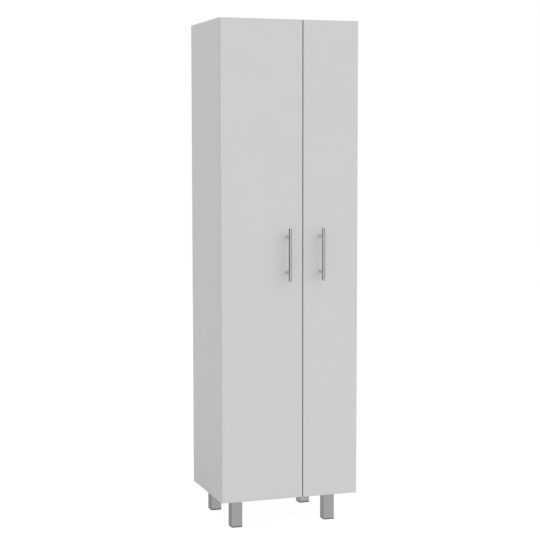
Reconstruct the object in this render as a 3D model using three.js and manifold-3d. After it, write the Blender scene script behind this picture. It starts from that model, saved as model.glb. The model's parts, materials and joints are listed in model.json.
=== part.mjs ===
// Two-door broom cupboard on square legs, in millimetres, +Z up.
// The doors face -Y. The origin is on the floor, under the middle of the whole cupboard with its handles.
// Inside this file x runs from the left side's outer face, y from the doors' front face to the wall,
// and z from the floor. The last group moves the whole to its origin.
import * as THREE from 'three';
import * as BufferGeometryUtils from 'three/addons/utils/BufferGeometryUtils.js';
import Module from 'manifold-3d';

const wasm = await Module();
wasm.setup();

// Overall sizes
const cabinetWidth = 510.5;
const cabinetDepth = 372.75;
const bodyHeight = 1700;
const legHeight = 100;

// Boards
const boardThickness = 15;
const backThickness = 3;
const dividerCentreX = 301.75;
const backGrooveInset = 8;
const backGrooveDepth = 6;
const panelFitClearance = 0.3;

// Shelves
const leftShelfCount = 4;
const shelfSideClearance = 0.5;
const shelfFrontSetback = 25;
const pinHoleDiameter = 5;
const pinHoleDepthShare = 0.45;
const pinHolePitch = 32;
const pinHolesPerGroup = 3;
const pinRowInset = 37;

// Strip that joins the two back panels
const stripGauge = 1;
const stripHeight = 18;
const stripCentreHeightShare = 0.5;

// Doors
const doorThickness = 15;
const doorEdgeRadius = 1;
const doorCornerRadiusShare = 1.5;
const doorSideReveal = 0.5;
const doorEndReveal = 1;
const doorMeetingGap = 3;
const swingClearance = 0.4;

// Handles
const handleLength = 187.5;
const handleBarDiameter = 11.5;
const handlePostSpacing = 127;
const handlePostDiameter = 11;
const handleAxisProjection = 34.5;
const handleCentreHeight = 877.5;
const leftHandleEdgeDistance = 57.75;
const rightHandleEdgeDistance = 63.75;
const handleEndChamfer = 0.8;
const postSpigotDiameter = 5;
const postSpigotDepth = 4.5;
const postFootChamfer = 0.4;
const screwShankDiameter = 3.8;
const screwHoleDiameter = 5;
const screwThreadDepth = 10;
const screwHeadDiameter = 8.5;
const screwHeadHeight = 2.2;

// Hinge cup, one pin inside it, and its flange on the door's back face
const hingeEndDistance = 100;
const hingesPerDoor = 3;
const cupBoreDiameter = 35;
const cupBoreDepth = 11.5;
const cupEdgeDistance = 3;
const cupWall = 0.8;
const cupFloorRadius = 1.5;
const cupRimOverhang = 0.8;
const cupFlangeThickness = 1;
const cupEarSpacing = 45;
const cupEarOffset = 9.5;
const cupEarWidth = 11;
const cupEarHoleDiameter = 4;
const hingePinDiameter = 2;
const hingeFitClearance = 0.25;

// Hinge arm: a rolled eye, a cranked neck and a channel that straddles the mounting plate
const armGauge = 1.8;
const armEyeDiameter = 4.2;
const armNeckWidth = 8;
const armBendRadius = 4;
const armChannelWidth = 15;
const armFlangeGauge = 1.4;
const armLength = 60;
const armFrontSetback = 2.5;
const armShoulderLength = 5;
const armNoseRadius = 4;
const armSlotWidth = 5.2;
const armSlotLength = 12;
const armScrewHoleDiameter = 4.5;
const armScrewInset = 9;

// Hinge mounting plate
const plateGauge = 2;
const plateBlockHeight = 7;
const plateBlockWidth = 11;
const plateBlockInset = 8;
const plateBlockLength = 46;
const plateRowInset = 37;
const plateScrewSpacing = 32;
const plateWingWidth = 13;
const plateWingLength = 47;
const plateScrewHoleDiameter = 4.5;
const plateFixingHoleDiameter = 3.4;

// Legs
const legSide = 40;
const legCornerRadius = 1.5;
const legWall = 1.6;
const legFrontInset = 38;
const legBackInset = 33;
const legLeftInset = 46.5;
const legRightInset = 73;
const legPlateSide = 62;
const legPlateThickness = 3;
const legPlateCornerRadius = 6;
const legPlugDepth = 12;
const legScrewHoleDiameter = 4.5;
const legScrewInset = 6;
const footThickness = 4;
const footCornerChamfer = 0.6;
const footWall = 3;

// Shared values
const seatClearance = 0.1;
const partClearance = 0.3;
const cutOverrun = 2;
const weldTolerance = 1e-4;
const roundSteps = 24;
const cupSteps = 20;
const smallSteps = 10;
const holeSteps = 8;
const cornerSteps = 2;
const bendSteps = 4;
const quarterTurn = Math.PI / 2;

// Heights and depths that follow from the sizes above
const bodyBottom = legHeight;
const bodyTop = legHeight + bodyHeight;
const innerLeft = boardThickness;
const innerRight = cabinetWidth - boardThickness;
const innerBottom = bodyBottom + boardThickness;
const innerTop = bodyTop - boardThickness;
const dividerLeft = dividerCentreX - boardThickness / 2;
const dividerRight = dividerCentreX + boardThickness / 2;
const backRear = cabinetDepth - backGrooveInset;
const backFront = backRear - backThickness;
const stripCentreZ = bodyBottom + bodyHeight * stripCentreHeightShare;

// Hinge places, measured in plan from the door's outer edge and its back face.
// The pin stands as near to the edge as the eye round it leaves room in the cup.
const cupRadius = cupBoreDiameter / 2 - hingeFitClearance;
const cupInnerRadius = cupRadius - cupWall;
const cupCentreInset = cupEdgeDistance + cupBoreDiameter / 2;
const armEyeRadius = armEyeDiameter / 2;
const eyeWallInset = cupCentreInset - Math.sqrt(cupInnerRadius ** 2 - (armNeckWidth / 2) ** 2);
const pinInset = eyeWallInset + partClearance + armEyeRadius;
const pinDepth = cupBoreDepth - hingeFitClearance - cupWall - hingeFitClearance - armEyeRadius;
const cupRimRadius = cupRadius + cupRimOverhang;
const cupFlangeHeight = seatClearance + cupFlangeThickness;

// The gap behind the doors is what the door's back edge and the cup's rim need as they swing past the carcass
const edgeReach = Math.hypot(pinInset - doorEdgeRadius, pinDepth - doorEdgeRadius) + doorEdgeRadius;
const rimReach = Math.hypot(pinInset - cupCentreInset + cupRimRadius, pinDepth + cupFlangeHeight);
const doorBackGap = Math.max(edgeReach, rimReach) - pinDepth + swingClearance;
const carcassFront = doorThickness + doorBackGap;
const pinX = doorSideReveal + pinInset;
const pinY = doorThickness - pinDepth;
const cupCentreX = doorSideReveal + cupCentreInset;

const doorBottom = bodyBottom + doorEndReveal;
const doorTop = bodyTop - doorEndReveal;
const leftDoorInner = dividerCentreX - doorMeetingGap / 2;
const rightDoorInner = dividerCentreX + doorMeetingGap / 2;
const doorOuterLeft = doorSideReveal;
const doorOuterRight = cabinetWidth - doorSideReveal;
const handleCentreZ = bodyBottom + handleCentreHeight;
const handleReach = handleAxisProjection + handleBarDiameter / 2;

// Finishes
const finishes = {
  whiteBoard: { color: 0xf1f1ef, roughness: 0.5, metalness: 0 },
  whiteBack: { color: 0xe6e6e3, roughness: 0.7, metalness: 0 },
  whitePlastic: { color: 0xececea, roughness: 0.5, metalness: 0 },
  steel: { color: 0xb9bcbf, roughness: 0.3, metalness: 0.9 },
  nickel: { color: 0xc6c7c6, roughness: 0.25, metalness: 1 },
  greyMetal: { color: 0x9c9ea1, roughness: 0.45, metalness: 0.4 },
  darkPlastic: { color: 0x55575a, roughness: 0.6, metalness: 0 },
};

// Gives a closed solid for a closed geometry, with its faces pointing out
function solidOf(geometry) {
  const bare = geometry.clone();
  bare.deleteAttribute('normal');
  bare.deleteAttribute('uv');
  const merged = BufferGeometryUtils.mergeVertices(bare, weldTolerance);
  const points = merged.getAttribute('position');
  const triangles = [];
  const a = new THREE.Vector3();
  const b = new THREE.Vector3();
  const c = new THREE.Vector3();
  let volume = 0;
  for (let i = 0; i < merged.index.count; i += 3) {
    const corner = [merged.index.getX(i), merged.index.getX(i + 1), merged.index.getX(i + 2)];
    if (new Set(corner).size === 3) {
      triangles.push(corner);
      a.fromBufferAttribute(points, corner[0]);
      b.fromBufferAttribute(points, corner[1]);
      c.fromBufferAttribute(points, corner[2]);
      volume += a.dot(b.cross(c));
    }
  }
  const facing = volume < 0 ? triangles.map(([p, q, r]) => [p, r, q]) : triangles;
  return new wasm.Manifold(new wasm.Mesh({
    numProp: 3,
    vertProperties: Float32Array.from(points.array),
    triVerts: Uint32Array.from(facing.flat()),
  }));
}

function joined(solids) {
  return solids.reduce((whole, solid) => whole.add(solid));
}

function cutBy(solid, cutters) {
  return cutters.reduce((rest, cutter) => rest.subtract(cutter), solid);
}

// A named mesh of a finished solid
function piece(name, solid, finish) {
  const { vertProperties, triVerts } = solid.getMesh();
  const geometry = new THREE.BufferGeometry();
  geometry.setAttribute('position', new THREE.BufferAttribute(vertProperties, 3));
  geometry.setIndex(new THREE.BufferAttribute(triVerts, 1));
  geometry.computeVertexNormals();
  const mesh = new THREE.Mesh(geometry, new THREE.MeshStandardMaterial(finish));
  mesh.name = name;
  return mesh;
}

function groupAt(x, y, z, children) {
  const group = new THREE.Group();
  group.position.set(x, y, z);
  group.add(...children);
  return group;
}

// A block between two corners, each face exactly at its coordinate so that neighbours meet face to face
function blockSolid(low, high) {
  const geometry = new THREE.BoxGeometry(1, 1, 1);
  const points = geometry.getAttribute('position');
  for (let i = 0; i < points.count; i += 1) {
    const x = points.getX(i) < 0 ? low[0] : high[0];
    const y = points.getY(i) < 0 ? low[1] : high[1];
    const z = points.getZ(i) < 0 ? low[2] : high[2];
    points.setXYZ(i, x, y, z);
  }
  return solidOf(geometry);
}

// A round bar between two values along an axis, centred on the other two coordinates
function rodSolid(axis, radius, from, to, centre, steps) {
  const geometry = new THREE.CylinderGeometry(radius, radius, to - from, steps);
  if (axis === 'x') geometry.rotateZ(-quarterTurn);
  if (axis === 'z') geometry.rotateX(quarterTurn);
  const middle = (from + to) / 2;
  const place = { x: [middle, ...centre], y: [centre[0], middle, centre[1]], z: [...centre, middle] }[axis];
  geometry.translate(...place);
  return solidOf(geometry);
}

// A profile of [radius, y] points turned about the Y axis
function turnedAlongY(profile, steps) {
  const points = profile.map(([radius, y]) => new THREE.Vector2(radius, y));
  return new THREE.LatheGeometry(points, steps);
}

// An outline drawn in x and z, extruded along y
function extrudedAlongY(outline, from, to) {
  const geometry = new THREE.ExtrudeGeometry(outline, {
    depth: to - from, bevelEnabled: false, curveSegments: cornerSteps,
  });
  geometry.rotateX(quarterTurn);
  geometry.translate(0, to, 0);
  return solidOf(geometry);
}

// An outline drawn in x and y, extruded along z
function extrudedAlongZ(outline, from, to, curveSegments = cornerSteps) {
  const settings = { depth: to - from, bevelEnabled: false, curveSegments };
  const geometry = new THREE.ExtrudeGeometry(outline, settings);
  geometry.translate(0, 0, from);
  return solidOf(geometry);
}

// An outline drawn in y and z, extruded along x
function extrudedAlongX(outline, from, to, curveSegments = cornerSteps) {
  const settings = { depth: to - from, bevelEnabled: false, curveSegments };
  const geometry = new THREE.ExtrudeGeometry(outline, settings);
  geometry.applyMatrix4(new THREE.Matrix4().makeBasis(
    new THREE.Vector3(0, 1, 0), new THREE.Vector3(0, 0, 1), new THREE.Vector3(1, 0, 0),
  ));
  geometry.translate(from, 0, 0);
  return solidOf(geometry);
}

// A rectangle with round corners between two corner points
function roundedRectangle(left, bottom, right, top, radius) {
  const shape = new THREE.Shape();
  shape.moveTo(left + radius, bottom);
  shape.lineTo(right - radius, bottom);
  shape.absarc(right - radius, bottom + radius, radius, -quarterTurn, 0);
  shape.lineTo(right, top - radius);
  shape.absarc(right - radius, top - radius, radius, 0, quarterTurn);
  shape.lineTo(left + radius, top);
  shape.absarc(left + radius, top - radius, radius, quarterTurn, 2 * quarterTurn);
  shape.lineTo(left, bottom + radius);
  shape.absarc(left + radius, bottom + radius, radius, 2 * quarterTurn, 3 * quarterTurn);
  return shape;
}

// The same solid for the other side of the cupboard
function mirrored(solid) {
  const { vertProperties, triVerts } = solid.getMesh();
  const geometry = new THREE.BufferGeometry();
  geometry.setAttribute('position', new THREE.BufferAttribute(vertProperties, 3));
  geometry.setIndex(new THREE.BufferAttribute(triVerts, 1));
  geometry.scale(-1, 1, 1);
  return solidOf(geometry);
}

// Shelf places: the left compartment's clear height is shared evenly by its shelves
const shelfBay = (innerTop - innerBottom - leftShelfCount * boardThickness) / (leftShelfCount + 1);
const shelfUndersides = Array.from(
  { length: leftShelfCount },
  (_, i) => innerBottom + shelfBay * (i + 1) + boardThickness * i,
);
const shelfFront = carcassFront + shelfFrontSetback;
const shelfRear = backFront - panelFitClearance - partClearance;
const pinRowFront = carcassFront + pinRowInset + shelfFrontSetback;
const pinRowRear = backFront - pinRowInset;

// Groups of pin holes, each group's middle hole right under its shelf
function pinHoles(faceX, inward, undersides) {
  const depth = boardThickness * pinHoleDepthShare;
  const from = inward > 0 ? faceX - cutOverrun : faceX - depth;
  const to = inward > 0 ? faceX + depth : faceX + cutOverrun;
  const holes = [];
  for (const underside of undersides) {
    for (const rowY of [pinRowFront, pinRowRear]) {
      for (let i = 0; i < pinHolesPerGroup; i += 1) {
        const z = underside - pinHoleDiameter / 2 + (i - (pinHolesPerGroup - 1) / 2) * pinHolePitch;
        holes.push(rodSolid('x', pinHoleDiameter / 2, from, to, [rowY, z], holeSteps));
      }
    }
  }
  return holes;
}

// The groove that holds the edges of the back panels, between two corners of the board's inner face
function backGroove(low, high) {
  return blockSolid(
    [low[0], backFront - panelFitClearance, low[1]],
    [high[0], backRear + panelFitClearance, high[1]],
  );
}

function leftSidePanel() {
  const board = blockSolid([0, carcassFront, bodyBottom], [innerLeft, cabinetDepth, bodyTop]);
  const groove = backGroove(
    [innerLeft - backGrooveDepth, bodyBottom - cutOverrun],
    [innerLeft + cutOverrun, bodyTop + cutOverrun],
  );
  return cutBy(board, [groove, ...pinHoles(innerLeft, -1, shelfUndersides)]);
}

function rightSidePanel() {
  const board = blockSolid([innerRight, carcassFront, bodyBottom], [cabinetWidth, cabinetDepth, bodyTop]);
  const groove = backGroove(
    [innerRight - cutOverrun, bodyBottom - cutOverrun],
    [innerRight + backGrooveDepth, bodyTop + cutOverrun],
  );
  return cutBy(board, [groove, ...pinHoles(innerRight, 1, shelfUndersides.slice(-1))]);
}

function topPanel() {
  const board = blockSolid([innerLeft, carcassFront, innerTop], [innerRight, cabinetDepth, bodyTop]);
  return cutBy(board, [backGroove(
    [innerLeft - cutOverrun, innerTop - cutOverrun],
    [innerRight + cutOverrun, innerTop + backGrooveDepth],
  )]);
}

function bottomPanel() {
  const board = blockSolid([innerLeft, carcassFront, bodyBottom], [innerRight, cabinetDepth, innerBottom]);
  return cutBy(board, [backGroove(
    [innerLeft - cutOverrun, innerBottom - backGrooveDepth],
    [innerRight + cutOverrun, innerBottom + cutOverrun],
  )]);
}

// The divider stops at the back panel and is notched round the strip that joins its halves
function centreDivider() {
  const rear = backFront - panelFitClearance;
  const board = blockSolid([dividerLeft, carcassFront, innerBottom], [dividerRight, rear, innerTop]);
  const notchHalf = stripHeight / 2 + partClearance;
  const notch = blockSolid(
    [dividerLeft - cutOverrun, rear - stripGauge - partClearance, stripCentreZ - notchHalf],
    [dividerRight + cutOverrun, rear + cutOverrun, stripCentreZ + notchHalf],
  );
  return cutBy(board, [
    notch,
    ...pinHoles(dividerLeft, 1, shelfUndersides),
    ...pinHoles(dividerRight, -1, shelfUndersides.slice(-1)),
  ]);
}

function backPanel(bottom, top) {
  const overlap = backGrooveDepth - panelFitClearance;
  return blockSolid([innerLeft - overlap, backFront, bottom], [innerRight + overlap, backRear, top]);
}

// H section: two flanges over the panels' faces and a web between their edges
function backJoiningStrip() {
  const left = innerLeft + panelFitClearance;
  const right = innerRight - panelFitClearance;
  const flange = (front) => blockSolid(
    [left, front, stripCentreZ - stripHeight / 2],
    [right, front + stripGauge, stripCentreZ + stripHeight / 2],
  );
  const web = blockSolid(
    [left, backFront - panelFitClearance, stripCentreZ - stripGauge / 2],
    [right, backRear + panelFitClearance, stripCentreZ + stripGauge / 2],
  );
  const front = backFront - panelFitClearance - stripGauge;
  return joined([flange(front), web, flange(backRear + panelFitClearance)]);
}

function shelf(left, right, underside) {
  return blockSolid(
    [left + shelfSideClearance, shelfFront, underside],
    [right - shelfSideClearance, shelfRear, underside + boardThickness],
  );
}

function carcassPieces() {
  const stripEdge = stripGauge / 2 + panelFitClearance;
  const backBottom = innerBottom - backGrooveDepth + panelFitClearance;
  const backTop = innerTop + backGrooveDepth - panelFitClearance;
  const pieces = [
    piece('left_side_panel', leftSidePanel(), finishes.whiteBoard),
    piece('right_side_panel', rightSidePanel(), finishes.whiteBoard),
    piece('top_panel', topPanel(), finishes.whiteBoard),
    piece('bottom_panel', bottomPanel(), finishes.whiteBoard),
    piece('centre_divider', centreDivider(), finishes.whiteBoard),
    piece('back_panel_lower', backPanel(backBottom, stripCentreZ - stripEdge), finishes.whiteBack),
    piece('back_panel_upper', backPanel(stripCentreZ + stripEdge, backTop), finishes.whiteBack),
    piece('back_joining_strip', backJoiningStrip(), finishes.whitePlastic),
    piece('hat_shelf', shelf(dividerRight, innerRight, shelfUndersides.at(-1)), finishes.whiteBoard),
  ];
  shelfUndersides.forEach((underside, i) => {
    const solid = shelf(innerLeft, dividerLeft, underside);
    pieces.push(piece(`left_shelf_${i + 1}`, solid, finishes.whiteBoard));
  });
  return pieces;
}

// Legs, drawn about their own centre
function legTube() {
  const half = legSide / 2;
  const outline = roundedRectangle(-half, -half, half, half, legCornerRadius);
  const inner = half - legWall;
  const innerRadius = Math.max(legCornerRadius - legWall, legWall / 2);
  outline.holes.push(roundedRectangle(-inner, -inner, inner, inner, innerRadius));
  const top = legHeight - legPlateThickness - 2 * seatClearance;
  return extrudedAlongZ(outline, footThickness + seatClearance, top);
}

// The plug is what a cap or plate sends into the tube's end: a hollow square that guides it
function legPlug(from, to) {
  const half = legSide / 2 - legWall - partClearance;
  const inner = half - footWall;
  return cutBy(
    extrudedAlongZ(roundedRectangle(-half, -half, half, half, legWall), from, to, 1),
    [blockSolid([-inner, -inner, from - cutOverrun], [inner, inner, to + cutOverrun])],
  );
}

function legPlate() {
  const half = legPlateSide / 2;
  const top = legHeight - seatClearance;
  const bottom = top - legPlateThickness;
  const outline = roundedRectangle(-half, -half, half, half, legPlateCornerRadius);
  const corner = half - legScrewInset;
  const holeCentres = [[-corner, -corner], [corner, -corner], [corner, corner], [-corner, corner]];
  const holes = holeCentres.map((centre) => rodSolid(
    'z', legScrewHoleDiameter / 2, bottom - cutOverrun, top + cutOverrun, centre, holeSteps,
  ));
  return cutBy(joined([extrudedAlongZ(outline, bottom, top), legPlug(bottom - legPlugDepth, top)]), holes);
}

function footCap() {
  const half = legSide / 2;
  const inset = half - footCornerChamfer;
  const padOutline = roundedRectangle(-half, -half, half, half, legCornerRadius);
  const soleOutline = roundedRectangle(-inset, -inset, inset, inset, legCornerRadius);
  return joined([
    extrudedAlongZ(padOutline, footCornerChamfer, footThickness),
    extrudedAlongZ(soleOutline, 0, footThickness),
    legPlug(footCornerChamfer, footThickness + legPlugDepth),
  ]);
}

function legGroups() {
  const left = legLeftInset + legSide / 2;
  const right = cabinetWidth - legRightInset - legSide / 2;
  const front = legFrontInset + legSide / 2;
  const back = cabinetDepth - legBackInset - legSide / 2;
  const places = {
    front_left: [left, front],
    front_right: [right, front],
    back_left: [left, back],
    back_right: [right, back],
  };
  return Object.entries(places).map(([name, [x, y]]) => groupAt(x, y, 0, [
    piece(`${name}_leg`, legTube(), finishes.greyMetal),
    piece(`${name}_leg_plate`, legPlate(), finishes.nickel),
    piece(`${name}_foot_cap`, footCap(), finishes.darkPlastic),
  ]));
}

// Doors
const hingeHeights = Array.from({ length: hingesPerDoor }, (_, i) => {
  const lowest = doorBottom + hingeEndDistance;
  const highest = doorTop - hingeEndDistance;
  return lowest + (highest - lowest) * i / (hingesPerDoor - 1);
});

function door(left, right, cupX, handleX) {
  const cornerRadius = doorEdgeRadius * doorCornerRadiusShare;
  const outline = roundedRectangle(left, doorBottom, right, doorTop, cornerRadius);
  const geometry = new THREE.ExtrudeGeometry(outline, {
    depth: doorThickness - 2 * doorEdgeRadius,
    bevelThickness: doorEdgeRadius,
    bevelSize: doorEdgeRadius,
    bevelOffset: -doorEdgeRadius,
    bevelSegments: cornerSteps,
    curveSegments: cornerSteps,
  });
  geometry.rotateX(quarterTurn);
  geometry.translate(0, doorThickness - doorEdgeRadius, 0);
  const bores = hingeHeights.map((z) => rodSolid(
    'y', cupBoreDiameter / 2, doorThickness - cupBoreDepth, doorThickness + cutOverrun, [cupX, z], cupSteps,
  ));
  const holes = [-1, 1].map((side) => rodSolid(
    'y', screwHoleDiameter / 2, -cutOverrun, doorThickness + cutOverrun,
    [handleX, handleCentreZ + side * handlePostSpacing / 2], smallSteps,
  ));
  return cutBy(solidOf(geometry), [...bores, ...holes]);
}

// Bar handle, drawn about its own middle on the door's front face
function handleBar() {
  const radius = handleBarDiameter / 2;
  const half = handleLength / 2;
  const profile = [
    [0, -half], [radius - handleEndChamfer, -half], [radius, -half + handleEndChamfer],
    [radius, half - handleEndChamfer], [radius - handleEndChamfer, half], [0, half],
  ];
  const bar = turnedAlongY(profile, roundSteps);
  bar.rotateX(quarterTurn);
  bar.translate(0, -handleAxisProjection, 0);
  const barBack = -handleAxisProjection + radius;
  const socketEnd = barBack - postSpigotDepth - partClearance;
  const sockets = [-1, 1].map((side) => rodSolid(
    'y', postSpigotDiameter / 2 + partClearance, socketEnd, barBack + cutOverrun,
    [0, side * handlePostSpacing / 2], smallSteps,
  ));
  return cutBy(solidOf(bar), sockets);
}

// The post's end is coped to the bar, its spigot goes into the bar and its foot is tapped for the screw
function handlePost() {
  const radius = handlePostDiameter / 2;
  const barBack = -handleAxisProjection + handleBarDiameter / 2;
  const shank = turnedAlongY([
    [0, -handleAxisProjection], [radius, -handleAxisProjection], [radius, -seatClearance - postFootChamfer],
    [radius - postFootChamfer, -seatClearance], [0, -seatClearance],
  ], 2 * smallSteps);
  const copeRadius = handleBarDiameter / 2 + partClearance;
  const cope = rodSolid(
    'z', copeRadius, -handlePostDiameter, handlePostDiameter, [0, -handleAxisProjection], roundSteps,
  );
  const spigot = rodSolid(
    'y', postSpigotDiameter / 2, barBack - postSpigotDepth, barBack + postSpigotDiameter, [0, 0], smallSteps,
  );
  const threadRadius = screwShankDiameter / 2 + partClearance;
  const threadEnd = -screwThreadDepth - partClearance;
  const thread = rodSolid('y', threadRadius, threadEnd, cutOverrun, [0, 0], smallSteps);
  return cutBy(joined([cutBy(solidOf(shank), [cope]), spigot]), [thread]);
}

function handleScrew() {
  const shank = screwShankDiameter / 2;
  const head = screwHeadDiameter / 2;
  const seat = doorThickness + seatClearance;
  const shoulder = seat + screwHeadHeight / 2;
  return solidOf(turnedAlongY([
    [0, -screwThreadDepth], [shank, -screwThreadDepth + postFootChamfer], [shank, seat], [head, seat],
    [head, shoulder], [head * Math.SQRT1_2, seat + screwHeadHeight], [0, seat + screwHeadHeight],
  ], smallSteps));
}

function handleGroup(side, x) {
  const postHeights = { lower: -handlePostSpacing / 2, upper: handlePostSpacing / 2 };
  const posts = Object.entries(postHeights).map(([name, z]) => groupAt(0, 0, z, [
    piece(`${side}_handle_${name}_post`, handlePost(), finishes.steel),
    piece(`${side}_handle_${name}_screw`, handleScrew(), finishes.nickel),
  ]));
  return groupAt(x, 0, handleCentreZ, [piece(`${side}_handle_bar`, handleBar(), finishes.steel), ...posts]);
}

// Hinge parts, drawn for the left side in plan coordinates, with z from the hinge's middle.
// The cup is pressed into the door's bore and its flange lies on the door's back face.
function hingeCup() {
  const bottom = doorThickness - cupBoreDepth + hingeFitClearance;
  const floor = bottom + cupWall;
  const seat = doorThickness + seatClearance;
  const face = seat + cupFlangeThickness;
  const shell = turnedAlongY([
    [0, bottom], [cupRadius - cupFloorRadius, bottom], [cupRadius, bottom + cupFloorRadius],
    [cupRadius, seat], [cupRimRadius, seat], [cupRimRadius, face], [0, face],
  ], cupSteps);
  const mouth = face + cutOverrun;
  const hollow = turnedAlongY(
    [[0, floor], [cupInnerRadius, floor], [cupInnerRadius, mouth], [0, mouth]], cupSteps,
  );
  shell.translate(cupCentreX, 0, 0);
  hollow.translate(cupCentreX, 0, 0);
  const earX = cupCentreX + cupEarOffset;
  const earEnd = (cupEarSpacing + cupEarWidth) / 2;
  const earHalf = cupEarWidth / 2;
  const earOutline = roundedRectangle(earX - earHalf, -earEnd, earX + earHalf, earEnd, earHalf);
  const ears = extrudedAlongY(earOutline, seat, face);
  const earHoles = [-1, 1].map((sign) => rodSolid(
    'y', cupEarHoleDiameter / 2, seat - cutOverrun, mouth, [earX, sign * cupEarSpacing / 2], holeSteps,
  ));
  const pinReach = Math.sqrt(cupInnerRadius ** 2 - (cupCentreX - pinX) ** 2) + cupWall / 2;
  const pin = rodSolid('z', hingePinDiameter / 2, -pinReach, pinReach, [pinX, pinY], smallSteps);
  return joined([cutBy(joined([solidOf(shell), ears]), [solidOf(hollow), ...earHoles]), pin]);
}

const armChannelInner = boardThickness + seatClearance + plateGauge + plateBlockHeight + partClearance;
const armWebCentre = armChannelInner + armGauge / 2;

// Rolled eye and cranked neck, in plan: along the cup's floor, round the bend and out of the cup's mouth
function armNeck() {
  const runLow = pinY - armEyeRadius;
  const bendX = armWebCentre - armGauge / 2 - armBendRadius;
  const bendY = runLow + armGauge + armBendRadius;
  const rear = carcassFront + armFrontSetback + armShoulderLength;
  const outline = new THREE.Shape();
  outline.moveTo(pinX, runLow);
  outline.lineTo(bendX, runLow);
  outline.absarc(bendX, bendY, armBendRadius + armGauge, -quarterTurn, 0);
  outline.lineTo(bendX + armBendRadius + armGauge, rear);
  outline.lineTo(bendX + armBendRadius, rear);
  outline.lineTo(bendX + armBendRadius, bendY);
  outline.absarc(bendX, bendY, armBendRadius, 0, -quarterTurn, true);
  outline.lineTo(pinX, runLow + armGauge);
  const half = armNeckWidth / 2;
  const strip = extrudedAlongZ(outline, -half, half, bendSteps);
  const eye = rodSolid('z', armEyeRadius, -half, half, [pinX, pinY], smallSteps);
  return joined([strip, eye]);
}

// Channel of the arm: a web whose shoulders widen from the neck, and two flanges with round noses
function armChannel() {
  const neck = armNeckWidth / 2;
  const half = armChannelWidth / 2;
  const front = carcassFront + armFrontSetback;
  const rear = front + armLength;
  const web = new THREE.Shape();
  const shoulder = front - armShoulderLength;
  const shoulderMiddle = front - armShoulderLength / 2;
  web.moveTo(shoulder, -neck);
  web.bezierCurveTo(shoulderMiddle, -neck, shoulderMiddle, -half, front, -half);
  web.lineTo(rear - armNoseRadius, -half);
  web.absarc(rear - armNoseRadius, -half + armNoseRadius, armNoseRadius, -quarterTurn, 0);
  web.lineTo(rear, half - armNoseRadius);
  web.absarc(rear - armNoseRadius, half - armNoseRadius, armNoseRadius, 0, quarterTurn);
  web.lineTo(front, half);
  web.bezierCurveTo(shoulderMiddle, half, shoulderMiddle, neck, shoulder, neck);
  const plate = extrudedAlongX(web, armChannelInner, armChannelInner + armGauge);
  const low = boardThickness + seatClearance + plateGauge + partClearance;
  const high = armChannelInner + armGauge / 2;
  const flange = new THREE.Shape();
  flange.moveTo(high, front);
  flange.lineTo(high, rear - armNoseRadius);
  flange.lineTo(low + armNoseRadius, rear - armNoseRadius);
  flange.absarc(low + armNoseRadius, rear - 2 * armNoseRadius, armNoseRadius, quarterTurn, 2 * quarterTurn);
  flange.lineTo(low, front + armNoseRadius);
  flange.absarc(low + armNoseRadius, front + armNoseRadius, armNoseRadius, 2 * quarterTurn, 3 * quarterTurn);
  return joined([
    plate,
    extrudedAlongZ(flange, -half, -half + armFlangeGauge),
    extrudedAlongZ(flange, half - armFlangeGauge, half),
  ]);
}

function hingeArm() {
  const rear = carcassFront + armFrontSetback + armLength;
  const low = armChannelInner - cutOverrun;
  const high = armChannelInner + armGauge + cutOverrun;
  const slotHalf = armSlotWidth / 2;
  const slot = extrudedAlongX(
    roundedRectangle(rear - armSlotLength, -slotHalf, rear + armSlotWidth, slotHalf, slotHalf), low, high,
  );
  const screwY = carcassFront + armFrontSetback + armScrewInset;
  const adjuster = rodSolid('x', armScrewHoleDiameter / 2, low, high, [screwY, 0], holeSteps);
  const bore = rodSolid(
    'z', hingePinDiameter / 2 + hingeFitClearance, -armNeckWidth, armNeckWidth, [pinX, pinY], smallSteps,
  );
  return cutBy(joined([armNeck(), armChannel()]), [slot, adjuster, bore]);
}

// Cross-shaped plate: wings screwed to the side panel and a raised block that the arm's channel straddles
function hingePlate() {
  const base = boardThickness + seatClearance;
  const face = base + plateGauge;
  const rowY = carcassFront + plateRowInset;
  const wingHalf = plateWingWidth / 2;
  const wingEnd = plateWingLength / 2;
  const wing = roundedRectangle(rowY - wingHalf, -wingEnd, rowY + wingHalf, wingEnd, wingHalf);
  const front = carcassFront + plateBlockInset;
  const half = plateBlockWidth / 2;
  const block = roundedRectangle(front, -half, front + plateBlockLength, half, plateGauge);
  const wingHoles = [-1, 1].map((sign) => rodSolid(
    'x', plateScrewHoleDiameter / 2, base - cutOverrun, face + cutOverrun,
    [rowY, sign * plateScrewSpacing / 2], holeSteps,
  ));
  const fixing = rodSolid(
    'x', plateFixingHoleDiameter / 2, face, face + plateBlockHeight + cutOverrun,
    [front + plateBlockLength - armSlotLength / 2, 0], holeSteps,
  );
  return cutBy(
    joined([extrudedAlongX(wing, base, face), extrudedAlongX(block, base, face + plateBlockHeight)]),
    [...wingHoles, fixing],
  );
}

const hingeNames = ['lower', 'middle', 'upper'];
const hingeForms = { cup: hingeCup(), arm: hingeArm(), plate: hingePlate() };

// The three hinges of one door, the right ones as mirror images from the right side's outer face
function hingeGroups(side) {
  return hingeHeights.map((z, i) => {
    const name = hingeNames[i] ?? `hinge_${i + 1}`;
    const parts = Object.entries(hingeForms).map(([part, solid]) => piece(
      `${side}_${name}_hinge_${part}`, side === 'left' ? solid : mirrored(solid), finishes.nickel,
    ));
    return groupAt(side === 'left' ? 0 : cabinetWidth, 0, z, parts);
  });
}

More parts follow.
